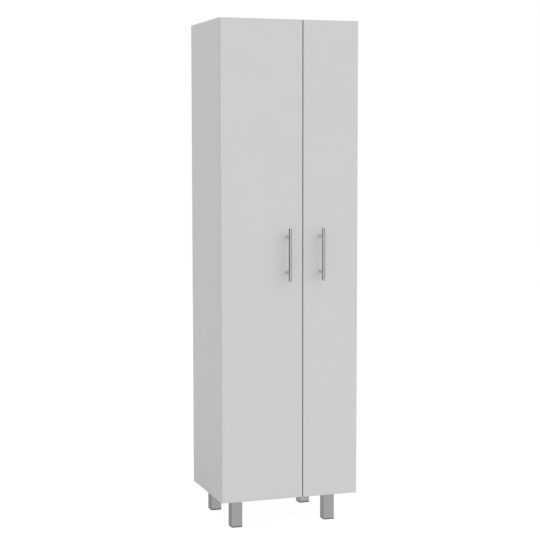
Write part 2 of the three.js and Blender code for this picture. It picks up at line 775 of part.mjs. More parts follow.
function doorPieces() {
  const leftHandleX = leftDoorInner - leftHandleEdgeDistance;
  const rightHandleX = rightDoorInner + rightHandleEdgeDistance;
  const leftBoard = door(doorOuterLeft, leftDoorInner, cupCentreX, leftHandleX);
  const rightBoard = door(rightDoorInner, doorOuterRight, cabinetWidth - cupCentreX, rightHandleX);
  return [
    piece('left_door_board', leftBoard, finishes.whiteBoard),
    piece('right_door_board', rightBoard, finishes.whiteBoard),
    handleGroup('left', leftHandleX),
    handleGroup('right', rightHandleX),
  ];
}

const cupboard = groupAt(-cabinetWidth / 2, (handleReach - cabinetDepth) / 2, 0, [
  ...carcassPieces(),
  ...legGroups(),
  ...doorPieces(),
  ...hingeGroups('left'),
  ...hingeGroups('right'),
]);

const group = new THREE.Group();
group.add(cupboard);

export default group;
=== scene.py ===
# Broom cupboard: finishes, small fittings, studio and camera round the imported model.
# Lengths are in metres unless a name ends in _MM, and colours are linear.
import json
import math

import bmesh
import bpy
from mathutils import Matrix, Vector


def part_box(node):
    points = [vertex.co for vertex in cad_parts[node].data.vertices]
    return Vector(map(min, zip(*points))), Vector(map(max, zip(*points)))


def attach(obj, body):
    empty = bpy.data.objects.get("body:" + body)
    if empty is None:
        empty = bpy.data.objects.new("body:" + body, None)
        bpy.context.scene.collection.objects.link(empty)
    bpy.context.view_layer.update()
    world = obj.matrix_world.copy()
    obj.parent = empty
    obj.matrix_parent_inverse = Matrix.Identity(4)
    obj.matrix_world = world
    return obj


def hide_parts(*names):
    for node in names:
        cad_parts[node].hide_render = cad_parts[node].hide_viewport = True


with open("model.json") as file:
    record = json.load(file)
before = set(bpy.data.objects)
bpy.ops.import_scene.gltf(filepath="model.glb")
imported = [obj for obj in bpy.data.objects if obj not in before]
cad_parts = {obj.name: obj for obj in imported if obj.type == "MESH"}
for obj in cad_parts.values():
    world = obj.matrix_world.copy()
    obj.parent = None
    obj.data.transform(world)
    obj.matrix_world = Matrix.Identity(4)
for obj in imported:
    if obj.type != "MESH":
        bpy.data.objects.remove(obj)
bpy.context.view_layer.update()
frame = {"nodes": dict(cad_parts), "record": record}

MM = 0.001

# The camera's place, as the photograph's edges give it: from the left door's lower outer front
# corner, in heights of that door
CAMERA_SHARES = (-0.833338, -2.777798, 0.735019)
CAMERA_YAW = math.radians(18.6658)
CAMERA_PITCH = math.radians(4.8812)
CAMERA_ROLL = math.radians(-0.073)
FOCAL_PIXELS = 1419.284
PHOTO_PIXELS = 540
SENSOR_WIDTH_MM = 36

# The world and one very soft key from the front right light the doors a little under full level
WHITE = (1, 1, 1, 1)
WORLD_LEVEL = 0.685
KEY_STRENGTH = 0.83
KEY_SOFTNESS = math.radians(76)
KEY_AZIMUTH = math.radians(40)
KEY_ELEVATION = math.radians(38)
FLOOR_LEVEL = 0.80
FLOOR_SHADOW = 0.18
FLOOR_GLOW = 0.92
FLOOR_SIZE = 14

# Cards that only polished metal shows: two opposite corners and a level
ABOVE_FLOOR = 0.5 * MM
FLAGS = {
    "left": ((-2.6, -3.6, 0), (-2.6, 0.3, 4.5), 0.0),
    "right": ((2.6, -4.5, 0), (2.6, 0.3, 4.5), 0.34),
    "floor_left": ((-1.2, -0.125, ABOVE_FLOOR), (-0.21, 1.4, ABOVE_FLOOR), 0.53),
    "floor_behind": ((-0.205, -0.15, ABOVE_FLOOR), (-0.055, 0.1, ABOVE_FLOOR), 1.07),
    "floor_middle": ((-0.05, -0.125, ABOVE_FLOOR), (0.1415, 0.8, ABOVE_FLOOR), 0.655),
    "floor_right": ((0.146, -0.16, ABOVE_FLOOR), (0.45, 0.132, ABOVE_FLOOR), 1.12),
}

# Colours
BOARD_WHITE = (0.735, 0.735, 0.737)
BOARD_SHADE = (0.727, 0.727, 0.729)
CHIP_LIGHT = (0.52, 0.37, 0.22)
CHIP_DARK = (0.27, 0.17, 0.09)
HARDBOARD_LIGHT = (0.34, 0.20, 0.10)
HARDBOARD_DARK = (0.26, 0.145, 0.07)
# Grey of the edge-band seam lines, and of the painted shadow lines where boards butt
SEAM_AND_SHADOW_GREY = (0.36, 0.36, 0.36)
# Painted shade: grey on the doors' meeting edges, standing for the dark in the gap between the doors
MEETING_EDGE_PAINTED_SHADE = (0.45, 0.45, 0.45)
LEG_GREY = (0.358, 0.358, 0.36)
FOOT_GREY = (0.115, 0.115, 0.117)
HANDLE_STEEL = (0.69, 0.69, 0.693)
NICKEL = (0.66, 0.645, 0.62)
ZINC = (0.60, 0.61, 0.62)
STRIP_WHITE = (0.70, 0.70, 0.69)
BUMPER_CLEAR = (0.75, 0.76, 0.77)

# Board finish
BOARD_SPECULAR = 0.25
PEARL_SHARE = 0.6
CHIP_EXTRA_ROUGHNESS = 0.35
EDGE_BAND = 1.0 * MM
EDGE_SEAM = 0.12 * MM
# Width of the painted shadow lines where boards butt
JOINT_SHADOW_WIDTH = 0.9 * MM
# Half the width of the painted shade on a door's meeting edge
MEETING_EDGE = 0.3 * MM
RAW_REAR_DEPTH = 0.3 * MM

# Spans of a noise's values that the materials stretch to a whole range
NOISE_WIDE = (0.3, 0.7)
NOISE_MIDDLE = (0.35, 0.65)
MOTTLE_SPAN = (0.35, 0.68)
SPECK_SPAN = (0.62, 0.72)

# Mesh work: welding distances, and angles in degrees
WELD = 1e-7
NODE_WELD = 2e-6
FLAT_WITHIN = 0.5
SHARP_FROM = 50
SMOOTH_BELOW = 35
LOFT_SMOOTH_BELOW = 40
DISC_SMOOTH_BELOW = 30
ROUNDING_SEGMENTS = 2

# How far the sharp edges of copied nodes are rounded
HINGE_ROUNDING = 0.2 * MM
HANDLE_SCREW_ROUNDING = 0.15 * MM
FOOT_CAP_ROUNDING = 0.25 * MM
LEG_PLATE_ROUNDING = 0.3 * MM

# Steps round turned forms, and round one corner of a leg
BAR_STEPS = 96
POST_STEPS = 64
DISC_STEPS = 48
BUMPER_STEPS = 32
SHELF_PIN_STEPS = 24
CORNER_STEPS = 8

# Handles: a post's tip ends inside the bar, at a share of the bar's radius before its axis
HANDLE_END_CHAMFER = 0.8 * MM
POST_COLLAR_CHAMFER = 0.4 * MM
POST_TIP_SHARE = 0.6

# Legs
LEG_CORNER_RADIUS = 1.5 * MM
LEG_WALL = 1.6 * MM
LEG_RIM_CHAMFER = 0.35 * MM
LEG_PLATE_THICKNESS = 3 * MM
LEG_SCREW_INSET = 6 * MM

# Screw heads and cam locks. A cross recess loses RECESS_SLOPE of its depth towards its arms' ends,
# and a domed head has lost SCREW_HEAD_FALL of its squared height at its rim
RECESS_SLOPE = 0.5
SCREW_HEAD_RADIUS = 3.6 * MM
SCREW_HEAD_HEIGHT = 1.1 * MM
SCREW_HEAD_FALL = 0.9
SCREW_HEAD_RINGS = 14
SCREW_RECESS_DEPTH = 0.9 * MM
SCREW_RECESS_ARM = 2.1 * MM
SCREW_RECESS_HALF_WIDTH = 0.42 * MM
CAM_RADIUS = 7.5 * MM
CAM_FACE_HEIGHT = 0.6 * MM
CAM_RIM_HEIGHT = 0.2 * MM
CAM_RINGS = 30
CAM_RECESS_DEPTH = 0.5 * MM
CAM_RECESS_ARM = 4.0 * MM
CAM_RECESS_HALF_WIDTH = 0.7 * MM
CAM_FROM_END = 34 * MM
CAM_FROM_EDGE = 50 * MM
CAM_BETWEEN_LEGS = 120 * MM

# Places of the hinges' screws on the cups, plates and arms
CUP_EAR_WIDTH = 11 * MM
CUP_EAR_SPACING = 45 * MM
PLATE_GAUGE = 2 * MM
PLATE_SCREW_SPACING = 32 * MM
PLATE_ROW_FROM_BLOCK = 29 * MM
PLATE_FIXING_FROM_REAR = 6 * MM
ARM_LENGTH = 60 * MM
ARM_SCREW_INSET = 9 * MM

# Shelf pins
SHELF_PIN_RADIUS = 2.4 * MM
SHELF_PIN_FLANGE_RADIUS = 3.6 * MM
SHELF_PIN_FLANGE = 1.0 * MM
SHELF_PIN_REACH = 8 * MM
SHELF_PIN_DEPTH = 6 * MM
SHELF_PIN_CENTRE_DROP = 2.5 * MM
PIN_ROW_FROM_SHELF_FRONT = 37 * MM
PIN_ROW_FROM_BACK = 37 * MM

# Lips along the side panels, in millimetres inwards from the outer face and out from the front edge
LIP_PROFILE_MM = (
    (0, 0), (0, 1.5), (0.15, 1.95), (0.45, 2.4), (0.8, 2.5),
    (1.05, 2.3), (1.5, 1.85), (2.0, 0.95), (2.3, 0),
)

# Door bumpers, with their profile in shares of radius and height
BUMPER_RADIUS = 4 * MM
BUMPER_HEIGHT = 2.0 * MM
BUMPER_PROFILE = ((0, 0), (1, 0), (1, 0.3), (0.8, 0.75), (0.45, 0.97), (0, 1))
BUMPER_FROM_MEETING_EDGE = 30 * MM
BUMPER_FROM_DOOR_END = 6.5 * MM

SIDES = ("left", "right")
HINGES = ("lower", "middle", "upper")
CORNERS = ("front_left", "front_right", "back_left", "back_right")
LEFT_SHELVES = ("left_shelf_1", "left_shelf_2", "left_shelf_3", "left_shelf_4")

body_of_node = {
    node: body for body, nodes in frame["record"]["behaviour"]["bodies"].items() for node in nodes
}


# Node trees

class Tree:
    """A material's node tree with one Principled shader."""

    def __init__(self, name, color, roughness, metallic=0.0):
        self.material = bpy.data.materials.new(name)
        self.material.use_nodes = True
        self.nodes = self.material.node_tree.nodes
        self.links = self.material.node_tree.links
        self.shader = self.nodes["Principled BSDF"]
        self.shader.inputs["Base Color"].default_value = (*color, 1)
        self.shader.inputs["Roughness"].default_value = roughness
        self.shader.inputs["Metallic"].default_value = metallic
        coordinates = self.nodes.new("ShaderNodeTexCoord")
        self.place = coordinates.outputs["Object"]

    def link(self, source, target):
        self.links.new(source, target)

    def node(self, kind, **inputs):
        made = self.nodes.new(kind)
        for key, value in inputs.items():
            made.inputs[key.replace("_", " ")].default_value = value
        return made

    def stretched(self, scale):
        mapping = self.node("ShaderNodeMapping", Scale=scale)
        self.link(self.place, mapping.inputs["Vector"])
        return mapping.outputs["Vector"]

    def noise(self, scale, detail=3.0, rough=0.55, stretch=(1, 1, 1)):
        made = self.node("ShaderNodeTexNoise", Scale=scale, Detail=detail, Roughness=rough)
        self.link(self.stretched(stretch), made.inputs["Vector"])
        return made.outputs["Fac"]

    def cells(self, scale, stretch):
        made = self.node("ShaderNodeTexVoronoi", Scale=scale)
        self.link(self.stretched(stretch), made.inputs["Vector"])
        return made.outputs["Color"]

    def spread(self, factor, span, low=0.0, high=1.0):
        """A span of a factor's values, stretched to run from low to high."""
        first, last = span
        made = self.node("ShaderNodeMapRange", From_Min=first, From_Max=last, To_Min=low, To_Max=high)
        self.link(factor, made.inputs["Value"])
        return made.outputs["Result"]

    def math(self, operation, first, second=None):
        made = self.nodes.new("ShaderNodeMath")
        made.operation = operation
        for socket, value in zip(made.inputs, (first, second)):
            if isinstance(value, (int, float)):
                socket.default_value = value
            elif value is not None:
                self.link(value, socket)
        return made.outputs["Value"]

    def mix(self, factor, first, second):
        made = self.nodes.new("ShaderNodeMix")
        made.data_type = "RGBA"
        self.link(factor, made.inputs["Factor"])
        for socket, value in ((made.inputs["A"], first), (made.inputs["B"], second)):
            if isinstance(value, tuple):
                socket.default_value = (*value, 1)
            else:
                self.link(value, socket)
        return made.outputs["Result"]

    def axis(self, name):
        made = self.nodes.new("ShaderNodeSeparateXYZ")
        self.link(self.place, made.inputs["Vector"])
        return made.outputs[name]

    def band(self, axis, place, width):
        """1 on a thin band of an axis round a place, 0 elsewhere."""
        distance = self.math("ABSOLUTE", self.math("SUBTRACT", self.axis(axis), place))
        return self.math("LESS_THAN", distance, width / 2)

    def color(self, output):
        self.link(output, self.shader.inputs["Base Color"])

    def vary_color(self, factor, span, color, darkest):
        """A base colour that varies with a factor, down to a darker share of itself."""
        darker = tuple(part * darkest for part in color)
        self.color(self.mix(self.spread(factor, span), darker, color))

    def roughness(self, output):
        self.link(output, self.shader.inputs["Roughness"])

    def bump(self, height, distance, strength):
        made = self.node("ShaderNodeBump", Strength=strength, Distance=distance)
        self.link(height, made.inputs["Height"])
        self.link(made.outputs["Normal"], self.shader.inputs["Normal"])


def melamine(name, seam_and_shadow_lines=(), raw_rear=None, meeting_edge=None):
    """White foil-faced board: faint mottle, pearl grain, thin edge-band seam lines and painted shadow
    lines at joints.

    Bare chipboard shows behind raw_rear on the Y axis, and at meeting_edge on the X axis a door's edge
    is grey as painted shade, for the dark in the gap between the doors. A seam is an axis, a place on
    it and a width.
    """
    tree = Tree(name, BOARD_WHITE, roughness=0.5)
    tree.shader.inputs["Specular IOR Level"].default_value = BOARD_SPECULAR
    mottle = tree.noise(scale=9.0, detail=4.0, rough=0.6)
    color = tree.mix(tree.spread(mottle, MOTTLE_SPAN), BOARD_SHADE, BOARD_WHITE)
    for axis, place, width in seam_and_shadow_lines:
        # Edge-band seam lines, and painted shadow lines at the joints
        color = tree.mix(tree.band(axis, place, width), color, SEAM_AND_SHADOW_GREY)
    if meeting_edge is not None:
        # Painted shade on the meeting edge, for the dark in the gap between the doors
        color = tree.mix(tree.band("X", meeting_edge, 2 * MEETING_EDGE), color, MEETING_EDGE_PAINTED_SHADE)
    grain = tree.noise(scale=950.0, detail=2.0, rough=0.5)
    pearl = tree.math("MULTIPLY", tree.noise(scale=160.0, detail=2.0), PEARL_SHARE)
    height = tree.math("ADD", grain, pearl)
    roughness = tree.spread(tree.noise(scale=35.0), NOISE_WIDE, low=0.50, high=0.60)
    if raw_rear is not None:
        flakes = tree.nodes.new("ShaderNodeSeparateColor")
        tree.link(tree.cells(scale=700.0, stretch=(1, 1, 0.5)), flakes.inputs["Color"])
        chip = tree.mix(flakes.outputs["Red"], CHIP_DARK, CHIP_LIGHT)
        rear = tree.math("GREATER_THAN", tree.axis("Y"), raw_rear)
        color = tree.mix(rear, color, chip)
        roughness = tree.math("ADD", roughness, tree.math("MULTIPLY", rear, CHIP_EXTRA_ROUGHNESS))
        height = tree.math("ADD", height, tree.math("MULTIPLY", rear, flakes.outputs["Green"]))
    tree.color(color)
    tree.roughness(roughness)
    tree.bump(height, distance=0.03 * MM, strength=0.5)
    return tree.material


def hardboard(name, middle):
    """Thin back board: white inside, and pressed brown fibre behind middle on the Y axis."""
    tree = Tree(name, HARDBOARD_LIGHT, roughness=0.6)
    fibre = tree.noise(scale=220.0, detail=6.0, rough=0.7, stretch=(1, 1, 0.8))
    brown = tree.mix(tree.spread(fibre, NOISE_MIDDLE), HARDBOARD_DARK, HARDBOARD_LIGHT)
    specks = tree.spread(tree.noise(scale=900.0, detail=2.0, rough=0.5), SPECK_SPAN)
    brown = tree.mix(specks, brown, CHIP_LIGHT)
    wall_side = tree.math("GREATER_THAN", tree.axis("Y"), middle)
    tree.color(tree.mix(wall_side, BOARD_SHADE, brown))
    tree.roughness(tree.spread(tree.noise(scale=60.0), NOISE_WIDE, low=0.5, high=0.68))
    tree.bump(tree.noise(scale=1400.0), distance=0.04 * MM, strength=0.6)
    return tree.material


def brushed(name, color, roughness, stretch):
    """Metal brushed along one direction: fine streaks in colour, roughness and height."""
    tree = Tree(name, color, roughness, metallic=1.0)
    streaks = tree.noise(scale=1500.0, detail=4.0, rough=0.6, stretch=stretch)
    tree.vary_color(streaks, NOISE_WIDE, color, darkest=0.86)
    tree.roughness(tree.spread(streaks, NOISE_WIDE, low=roughness * 0.85, high=roughness * 1.2))
    tree.bump(streaks, distance=0.02 * MM, strength=0.35)
    return tree.material


def plated(name, color, roughness):
    """Plated stamped steel with a faint cloudiness."""
    tree = Tree(name, color, roughness, metallic=1.0)
    tree.vary_color(tree.noise(scale=260.0, detail=4.0, rough=0.6), NOISE_MIDDLE, color, darkest=0.9)
    cloud = tree.noise(scale=90.0)
    tree.roughness(tree.spread(cloud, NOISE_WIDE, low=roughness * 0.8, high=roughness * 1.3))
    tree.bump(tree.noise(scale=700.0, detail=2.0), distance=0.01 * MM, strength=0.3)
    return tree.material


def satin_grey(name):
    """Satin grey anodised leg: fine lengthwise drawing lines under a soft grain."""
    tree = Tree(name, LEG_GREY, roughness=0.22, metallic=0.9)
    lines = tree.noise(scale=1300.0, detail=3.0, rough=0.5, stretch=(1, 1, 0.02))
    tree.vary_color(lines, NOISE_WIDE, LEG_GREY, darkest=0.93)
    tree.roughness(tree.spread(tree.noise(scale=240.0), NOISE_WIDE, low=0.20, high=0.26))
    tree.bump(lines, distance=0.01 * MM, strength=0.4)
    return tree.material


def moulded(name, color, roughness):
    """Moulded plastic with a fine grain."""
    tree = Tree(name, color, roughness)
    tree.vary_color(tree.noise(scale=120.0), NOISE_MIDDLE, color, darkest=0.92)
    grain = tree.noise(scale=500.0)
    tree.roughness(tree.spread(grain, NOISE_WIDE, low=roughness * 0.9, high=roughness * 1.1))
    tree.bump(tree.noise(scale=1500.0, detail=2.0), distance=0.03 * MM, strength=0.5)
    return tree.material


# Meshes

def smooth(mesh, degrees):
    """Shade the mesh smooth across edges gentler than an angle.

    The normals are weighted by area, so large flat faces stay flat.
    """
    least = math.cos(math.radians(degrees))
    around = [[] for _ in mesh.vertices]
    for polygon in mesh.polygons:
        polygon.use_smooth = True
        for vertex in polygon.vertices:
            around[vertex].append(polygon)
    normals = []
    for polygon in mesh.polygons:
        own = polygon.normal
        for vertex in polygon.vertices:
            total = Vector()
            for other in around[vertex]:
                if own.dot(other.normal) > least:
                    total += other.area * other.normal
            normals.append(total.normalized())
    mesh.normals_split_custom_set(normals)


def mesh_from(name, shape, degrees=SMOOTH_BELOW):
    """The shaded mesh of a bmesh, which is freed."""
    bmesh.ops.remove_doubles(shape, verts=shape.verts, dist=WELD)
    bmesh.ops.recalc_face_normals(shape, faces=shape.faces)
    mesh = bpy.data.meshes.new(name)
    shape.to_mesh(mesh)
    shape.free()
    smooth(mesh, degrees)
    return mesh


def turned(name, profile, steps, turn=Matrix()):
    """A closed profile of (radius, height) pairs turned about the Z axis, and then by a matrix."""
    shape = bmesh.new()
    rings = []
    for radius, height in profile:
        if radius == 0:
            rings.append([shape.verts.new((0, 0, height))])
            continue
        ring = []
        for i in range(steps):
            angle = 2 * math.pi * i / steps
            x = radius * math.cos(angle)
            y = radius * math.sin(angle)
            ring.append(shape.verts.new((x, y, height)))
        rings.append(ring)
    for low, high in zip(rings, rings[1:]):
        for i in range(steps):
            j = (i + 1) % steps
            corners = (low[i % len(low)], low[j % len(low)], high[j % len(high)], high[i % len(high)])
            shape.faces.new(list(dict.fromkeys(corners)))
    bmesh.ops.transform(shape, matrix=turn, verts=shape.verts)
    return mesh_from(name, shape)


def rounded_square(half, radius):
    """Points of a square with round corners, counter-clockwise, about the origin."""
    points = []
    for quarter in range(4):
        start = quarter * math.pi / 2
        centre = Vector((half - radius, half - radius))
        centre.rotate(Matrix.Rotation(start, 2))
        for i in range(CORNER_STEPS + 1):
            angle = start + math.pi / 2 * i / CORNER_STEPS
            points.append(centre + radius * Vector((math.cos(angle), math.sin(angle))))
    return points


def lofted(name, rings):
    """A closed skin through rings of points with equal counts; the last ring joins the first."""
    shape = bmesh.new()
    made = [[shape.verts.new(point) for point in ring] for ring in rings]
    count = len(made[0])
    for low, high in zip(made, made[1:] + made[:1]):
        for i in range(count):
            j = (i + 1) % count
            shape.faces.new((low[i], low[j], high[j], high[i]))
    return mesh_from(name, shape, LOFT_SMOOTH_BELOW)


# Pieces

def finished(name, mesh, material, body, matrix=Matrix()):
    """A piece of a mesh, which may be shared, with its material, that rides on a body."""
    piece = bpy.data.objects.new(name, mesh)
    bpy.context.scene.collection.objects.link(piece)
    piece.matrix_world = matrix
    if not mesh.materials:
        mesh.materials.append(material)
    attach(piece, body)
    return piece


def put(mesh, name, place, towards, body, material):
    """A shared mesh as a piece at a place, its +Z turned towards a direction, riding on a body."""
    turn = Vector((0, 0, 1)).rotation_difference(Vector(towards)).to_matrix().to_4x4()
    finished(name, mesh, material, body, Matrix.Translation(place) @ turn)


def stand_in(node, mesh, material):
    """A mesh as the piece that stands for a node, on the node's body."""
    piece = finished(mesh.name, mesh, material, body_of_node[node])
    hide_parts(node)


def copy_of(node, rounding, material):
    """A stand-in of the node's own shape, its sharp edges rounded as on stamped or moulded parts."""
    shape = bmesh.new()
    shape.from_mesh(frame["nodes"][node].data)
    bmesh.ops.remove_doubles(shape, verts=shape.verts, dist=NODE_WELD)
    bmesh.ops.dissolve_limit(
        shape, angle_limit=math.radians(FLAT_WITHIN), verts=shape.verts, edges=shape.edges,
        use_dissolve_boundaries=False,
    )
    if rounding:
        least = math.radians(SHARP_FROM)
        sharp = [edge for edge in shape.edges if edge.calc_face_angle(0) > least]
        bmesh.ops.bevel(
            shape, geom=sharp, offset=rounding, segments=ROUNDING_SEGMENTS, profile=0.5,
            affect="EDGES", clamp_overlap=True,
        )
    stand_in(node, mesh_from(node + "_finished", shape), material)


def set_material(node, material):
    """A better material on a node whose own shape stays."""
    data = frame["nodes"][node]
    if not data.material_slots:
        data.data.materials.append(material)
    for place in data.material_slots:
        place.material = material


# Boards

def ends(node, axis):
    """A node's lowest and highest places on an axis."""
    low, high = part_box(node)
    index = "XYZ".index(axis)
    return low[index], high[index]


def band_seams(node, axis):
    """Where the edge bands end on a board's faces: a band's thickness in from both of its edges."""
    low, high = ends(node, axis)
    return [(axis, low + EDGE_BAND, EDGE_SEAM), (axis, high - EDGE_BAND, EDGE_SEAM)]


def front_seam(node):
    """Where the band of a board's front edge ends."""
    low, _ = ends(node, "Y")
    return [("Y", low + EDGE_BAND, EDGE_SEAM)]


def joint_shadow_lines(node, axis):
    """The painted shadow lines where a board's two ends butt against its neighbours."""
    return [(axis, place, JOINT_SHADOW_WIDTH) for place in ends(node, axis)]


def dress_boards():
    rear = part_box("left_side_panel")[1].y - RAW_REAR_DEPTH
    for node in ("left_side_panel", "right_side_panel"):
        set_material(node, melamine(node + "_foil", front_seam(node), rear))
    for node in ("top_panel", "bottom_panel"):
        # The front seam, and painted shadow lines at both ends
        seam_and_shadow_lines = front_seam(node) + joint_shadow_lines(node, "X")
        set_material(node, melamine(node + "_foil", seam_and_shadow_lines, rear))
    # The front seam, and painted shadow lines at top and bottom
    seam_and_shadow_lines = front_seam("centre_divider") + joint_shadow_lines("centre_divider", "Z")
    set_material("centre_divider", melamine("centre_divider_foil", seam_and_shadow_lines))
    for node in ("hat_shelf", *LEFT_SHELVES):
        set_material(node, melamine(node + "_foil", front_seam(node)))
    for side in SIDES:
        node = f"{side}_door_board"
        low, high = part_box(node)
        meeting_edge = high.x if side == "left" else low.x
        material = melamine(node + "_foil", band_seams(node, "Z"), meeting_edge=meeting_edge)
        copy_of(node, 0, material)
    for level in ("lower", "upper"):
        node = f"back_panel_{level}"
        low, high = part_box(node)
        set_material(node, hardboard(node + "_board", (low.y + high.y) / 2))
    set_material("back_joining_strip", moulded("strip_plastic", STRIP_WHITE, roughness=0.45))


# Handles

def dress_handles(steel, zinc):
    chamfer = HANDLE_END_CHAMFER
    for side in SIDES:
        node = f"{side}_handle_bar"
        low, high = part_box(node)
        centre = (low + high) / 2
        radius = (high.x - low.x) / 2
        half = (high.z - low.z) / 2
        mesh = turned(node + "_smooth", [
            (0, -half), (radius - chamfer, -half), (radius, -half + chamfer),
            (radius, half - chamfer), (radius - chamfer, half), (0, half),
        ], BAR_STEPS)
        mesh.transform(Matrix.Translation(centre))
        stand_in(node, mesh, steel)
        for level in ("lower", "upper"):
            dress_post(f"{side}_handle_{level}_post", centre, radius, steel)
            copy_of(f"{side}_handle_{level}_screw", HANDLE_SCREW_ROUNDING, zinc)


def dress_post(node, bar_centre, bar_radius, steel):
    """A post from the door, where it is chamfered, to inside the bar."""
    low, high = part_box(node)
    radius = (high.x - low.x) / 2
    foot = high.y
    tip = bar_centre.y + bar_radius * POST_TIP_SHARE
    chamfer = POST_COLLAR_CHAMFER
    along_y = Matrix.Rotation(-math.pi / 2, 4, "X")
    mesh = turned(node + "_smooth", [
        (0, foot), (radius - chamfer, foot), (radius, foot - chamfer), (radius, tip), (0, tip),
    ], POST_STEPS, along_y)
    mesh.transform(Matrix.Translation((bar_centre.x, 0, (low.z + high.z) / 2)))
    stand_in(node, mesh, steel)


# Legs

def dress_leg(corner, leg_material, foot_material, plate_material):
    node = f"{corner}_leg"
    low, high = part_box(node)
    centre = (low + high) / 2
    half = (high.x - low.x) / 2
    chamfer = LEG_RIM_CHAMFER
    outer = rounded_square(half, LEG_CORNER_RADIUS)
    rim = rounded_square(half - chamfer, LEG_CORNER_RADIUS - chamfer)
    inner = rounded_square(half - LEG_WALL, LEG_WALL / 2)
    levels = (
        (rim, low.z), (outer, low.z + chamfer), (outer, high.z - chamfer),
        (rim, high.z), (inner, high.z), (inner, low.z),
    )
    rings = [
        [(centre.x + point.x, centre.y + point.y, height) for point in points]
        for points, height in levels
    ]
    stand_in(node, lofted(node + "_smooth", rings), leg_material)
    copy_of(f"{corner}_foot_cap", FOOT_CAP_ROUNDING, foot_material)
    copy_of(f"{corner}_leg_plate", LEG_PLATE_ROUNDING, plate_material)


def dress_leg_screws(screw, zinc):
    for corner in CORNERS:
        low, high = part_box(f"{corner}_leg_plate")
        bottom = high.z - LEG_PLATE_THICKNESS
        for i, x in enumerate((low.x + LEG_SCREW_INSET, high.x - LEG_SCREW_INSET)):
            for j, y in enumerate((low.y + LEG_SCREW_INSET, high.y - LEG_SCREW_INSET)):
                name = f"{corner}_leg_screw_{2 * i + j + 1}"
                put(screw, name, (x, y, bottom), (0, 0, -1), "carcass", zinc)


# Screws and small fittings

def crossed_disc(name, crown, radius, rings, depth, arm, half_width):
    """A disc with a cross recess, its seat at height 0 and its axis along Z.

    crown gives its height at a radius; depth, arm and half_width are the recess's.
    """
    shape = bmesh.new()
    centre = shape.verts.new((0, 0, crown(0) - depth))
    previous = None
    for k in range(1, rings + 1):
        out = radius * k / rings
        ring = []
        for i in range(DISC_STEPS):
            angle = 2 * math.pi * (i + 0.5) / DISC_STEPS
            x = out * math.cos(angle)
            y = out * math.sin(angle)
            across = min(abs(x), abs(y))
            along = max(abs(x), abs(y))
            cut = across < half_width and along < arm
            sunk = depth * (1 - RECESS_SLOPE * along / arm) if cut else 0
            ring.append(shape.verts.new((x, y, crown(out) - sunk)))
        for i in range(DISC_STEPS):
            j = (i + 1) % DISC_STEPS
            if previous is None:
                shape.faces.new((centre, ring[i], ring[j]))
            else:
                shape.faces.new((previous[i], ring[i], ring[j], previous[j]))
        previous = ring
    rim = [shape.verts.new((vert.co.x, vert.co.y, 0)) for vert in previous]
    for i in range(DISC_STEPS):
        j = (i + 1) % DISC_STEPS
        shape.faces.new((previous[i], rim[i], rim[j], previous[j]))
    shape.faces.new(list(reversed(rim)))
    return mesh_from(name, shape, DISC_SMOOTH_BELOW)


def screw_head_mesh(name):
    """A low domed head with a cross recess."""
    def dome(out):
        return SCREW_HEAD_HEIGHT * math.sqrt(1 - (out / SCREW_HEAD_RADIUS) ** 3 * SCREW_HEAD_FALL)
    return crossed_disc(
        name, dome, SCREW_HEAD_RADIUS, SCREW_HEAD_RINGS,
        SCREW_RECESS_DEPTH, SCREW_RECESS_ARM, SCREW_RECESS_HALF_WIDTH,
    )


def cam_lock_mesh(name):
    """The flat face of a cam housing that sits in a board: a wide cross and a chamfered rim."""
    def face(out):
        return min(CAM_FACE_HEIGHT, CAM_RIM_HEIGHT + CAM_RADIUS - out)
    return crossed_disc(
        name, face, CAM_RADIUS, CAM_RINGS, CAM_RECESS_DEPTH, CAM_RECESS_ARM, CAM_RECESS_HALF_WIDTH,
    )


def dress_hinge(side, level, nickel, zinc, screw):
    sign = 1 if side == "left" else -1
    inwards = (sign, 0, 0)
    base = f"{side}_{level}_hinge"
    for part in ("cup", "arm", "plate"):
        copy_of(f"{base}_{part}", HINGE_ROUNDING, nickel)
    cup_low, cup_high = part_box(base + "_cup")
    plate_low, plate_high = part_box(base + "_plate")
    arm_low, arm_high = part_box(base + "_arm")
    height = (cup_low.z + cup_high.z) / 2
    ear_x = (cup_high.x if side == "left" else cup_low.x) - sign * CUP_EAR_WIDTH / 2
    wall_x = plate_low.x if side == "left" else plate_high.x
    web_x = arm_high.x if side == "left" else arm_low.x
    row_y = plate_low.y + PLATE_ROW_FROM_BLOCK
    for i, up in enumerate((-1, 1)):
        ear = (ear_x, cup_high.y, height + up * CUP_EAR_SPACING / 2)
        name = f"{base}_cup_screw_{i + 1}"
        put(screw, name, ear, (0, 1, 0), f"{side}_door", zinc)
        wing = (wall_x + sign * PLATE_GAUGE, row_y, height + up * PLATE_SCREW_SPACING / 2)
        name = f"{base}_plate_screw_{i + 1}"
        put(screw, name, wing, inwards, "carcass", zinc)
    adjuster = (web_x, arm_high.y - ARM_LENGTH + ARM_SCREW_INSET, height)
    fixing = (web_x, plate_high.y - PLATE_FIXING_FROM_REAR, height)
    put(screw, base + "_adjusting_screw", adjuster, inwards, "carcass", zinc)
    put(screw, base + "_fixing_screw", fixing, inwards, "carcass", zinc)


